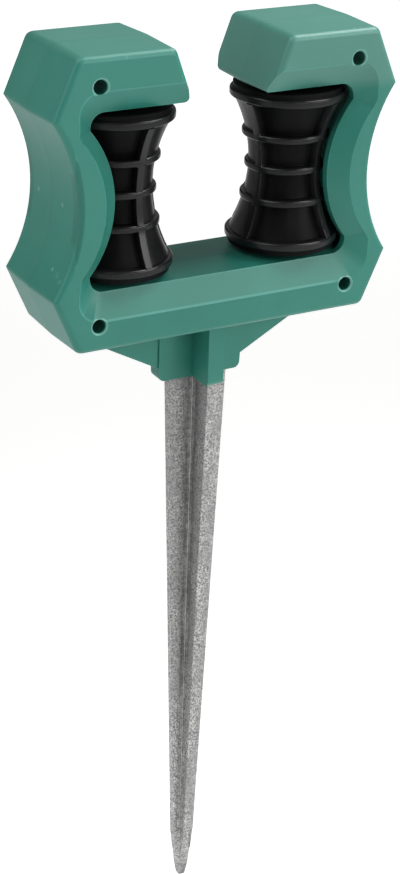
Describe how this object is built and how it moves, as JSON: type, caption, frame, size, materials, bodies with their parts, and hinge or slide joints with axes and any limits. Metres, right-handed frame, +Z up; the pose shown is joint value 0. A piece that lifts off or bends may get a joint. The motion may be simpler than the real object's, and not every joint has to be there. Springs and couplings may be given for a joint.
{
  "type": "hose guide stake",
  "caption": "Ground stake with a clamshell yoke that holds upright ribbed spool rollers, which guide a garden hose round the corner of a bed.",
  "frame": {"origin": "on the stake's axis at ground level, at the foot of the socket", "axes": "+X along the crossbar to the right, +Y from the screw side to the rear, +Z up"},
  "size_m": [0.1566, 0.049, 0.4171],
  "materials": {
    "yoke_plastic": "satin moulded green plastic",
    "roller_plastic": "satin moulded black plastic",
    "cast_zinc": "mottled grey as cast",
    "bright_steel": "bright zinc-plated steel"
  },
  "bodies": {
    "yoke": {"front_shell": "yoke_plastic", "rear_shell": "yoke_plastic", "left_axle": "bright_steel", "right_axle": "bright_steel", "ground_stake": "cast_zinc", "case_screws": "bright_steel"},
    "left_roller": {"left_roller": "roller_plastic"},
    "right_roller": {"right_roller": "roller_plastic"}
  },
  "joints": [
    {"name": "left_roller_spin", "type": "hinge", "parent": "yoke", "child": "left_roller", "pos_m": [-0.0397, 0, 0.089], "axis": [0, 0, 1], "continuous": true},
    {"name": "right_roller_spin", "type": "hinge", "parent": "yoke", "child": "right_roller", "pos_m": [0.0397, 0, 0.089], "axis": [0, 0, 1], "continuous": true}
  ]
}
